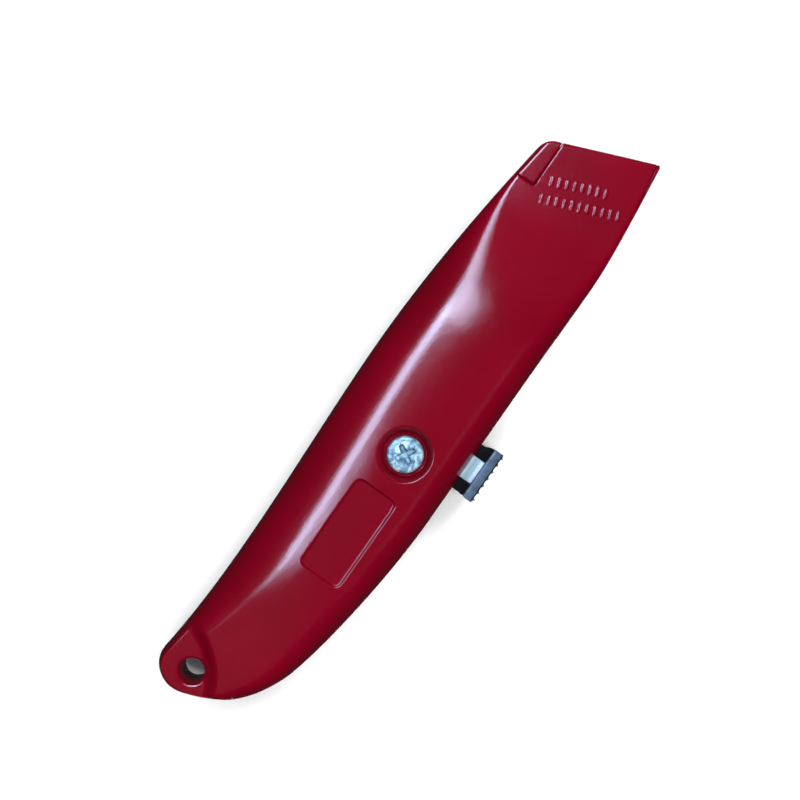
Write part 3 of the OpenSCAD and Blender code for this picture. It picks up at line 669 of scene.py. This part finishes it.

# The black shoe is painted shade, set where the pockets under the pad lie in shade.
shoe = extrude_z("button_shoe_painted_shade",
                 rounded([(69.2, -2.6, 0.3), (81.3, -2.6, 0.3), (80.6, -0.8, 0.4), (80.6, 3.6, 0.4),
                          (69.4, 3.6, 0.4), (69.4, -1.4, 0.4)]), 2.7, 0.2)
way_x0, way_x1, way_z = POST_X0 - 0.01, POST_X1 + 0.01, NECK_HALF + 0.01
combine(shoe, [block("post_way", (way_x0, -9, -5), (way_x1, NECK_Y, 5)),
               block("neck_way", (way_x0, 0.5, -way_z), (way_x1, 9, way_z))])
smooth(shoe, 30)
# Near-black material of the painted shade, its tone mottled at random.
painted_shade_black, tree, place = start("shoe_nylon")
fine = add(tree, "ShaderNodeTexNoise", {"Vector": place}, scale=2500.0, detail=3.0)
shade_mottle = add(tree, "ShaderNodeTexNoise", {"Vector": place}, scale=350.0, detail=4.0)
shade = ramp(tree, shade_mottle.outputs[0], [(0.4, linear("040405")), (0.7, linear("0b0b0d"))])
rough = add(tree, "ShaderNodeMapRange", {"Value": shade_mottle.outputs[0]}, to_min=0.5, to_max=0.7)
bump = add(tree, "ShaderNodeBump", {"Height": fine.outputs[0]}, strength=0.3, distance=0.00008)
painted_shade_bsdf = add(tree, "ShaderNodeBsdfPrincipled",
              {"Base Color": shade.outputs[0], "Roughness": rough.outputs[0], "Normal": bump.outputs[0]},
              specular_ior_level=0.08)
finish_with(tree, painted_shade_bsdf)
shoe.data.materials.append(painted_shade_black)
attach(shoe, "button")
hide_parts("button_shoe")

# ---------------------------------------------------------------- studio
# A plain pale sheet under the knife, seen from straight above. Two lights make the highlights and four
# fill the paint and the sheet. Glossy and diffuse rays miss the sheet, which keeps the low edges dark.
floor_mesh = bpy.data.meshes.new("floor")
floor_mesh.from_pydata([(-3, -3, 0), (3, -3, 0), (3, 3, 0), (-3, 3, 0)], [], [(0, 1, 2, 3)])
floor = bpy.data.objects.new("floor", floor_mesh)
bpy.context.scene.collection.objects.link(floor)
paper, tree, place = start("paper")
tooth = add(tree, "ShaderNodeTexNoise", {"Vector": place}, scale=900.0, detail=3.0)
shade = ramp(tree, tooth.outputs[0], [(0.3, linear("fafafa")), (0.7, linear("ffffff"))])
sheet = add(tree, "ShaderNodeBsdfPrincipled",
            {"Base Color": shade.outputs[0], "Emission Color": shade.outputs[0]}, roughness=0.9,
            emission_strength=0.04)
finish_with(tree, sheet)
floor_mesh.materials.append(paper)
floor.visible_glossy = floor.visible_diffuse = False

camera_data = bpy.data.cameras.new("camera")
camera = bpy.data.objects.new("camera", camera_data)
bpy.context.scene.collection.objects.link(camera)
camera.location = (0.00279, 0.007, 0.3093)
camera.rotation_euler = (0, 0, math.radians(-55))
camera_data.lens = 62.6
camera_data.sensor_width = 36
camera_data.clip_start = 0.01
bpy.context.scene.camera = camera


def softbox(name, offset, size, watts, colour, turn, lights):
    """An area light aimed at the middle of the knife, offset in metres from there, its width turned
    from X by turn degrees. It shows in gloss, or it lights the body of the paint and the sheet."""
    data = bpy.data.lights.new(name, "AREA")
    data.shape, data.size, data.size_y = "RECTANGLE", size[0], size[1]
    data.energy, data.color = watts, linear(colour)[:3]
    lamp = bpy.data.objects.new(name, data)
    bpy.context.scene.collection.objects.link(lamp)
    z = Vector(offset).normalized()
    x = Vector((math.cos(math.radians(turn)), math.sin(math.radians(turn)), 0))
    x = (x - z * z.dot(x)).normalized()
    lamp.location = offset
    lamp.rotation_euler = Matrix((x, z.cross(x), z)).transposed().to_euler()
    lamp.visible_glossy, lamp.visible_diffuse = lights == "GLOSS", lights == "DIFFUSE"


softbox("strip", (-0.02, 0.31, 0.85), (0.46, 0.15), 6.0, "ccdaff", 40, "GLOSS")
softbox("blaze", (0.24, 0.32, 0.85), (0.26, 0.42), 9.0, "d0dcff", 0, "GLOSS")
for name, x, y, z, watts in [("nose_fill", 0.62, 0, 0.62, 5.8), ("tail_fill", -0.45, 0, 0.85, 3.2),
                             ("belly_fill", 0, 0.45, 0.85, 3.0), ("back_fill", 0, -0.45, 0.85, 4.6)]:
    softbox(name, (x, y, z), (0.4, 0.4), watts, "ffffff", 0, "DIFFUSE")
world = bpy.data.worlds.new("studio")
world.use_nodes = True
world.node_tree.nodes["Background"].inputs[0].default_value = linear("ffffff")
world.node_tree.nodes["Background"].inputs[1].default_value = 0.03
bpy.context.scene.world = world
bpy.context.scene.view_settings.view_transform = "Standard"
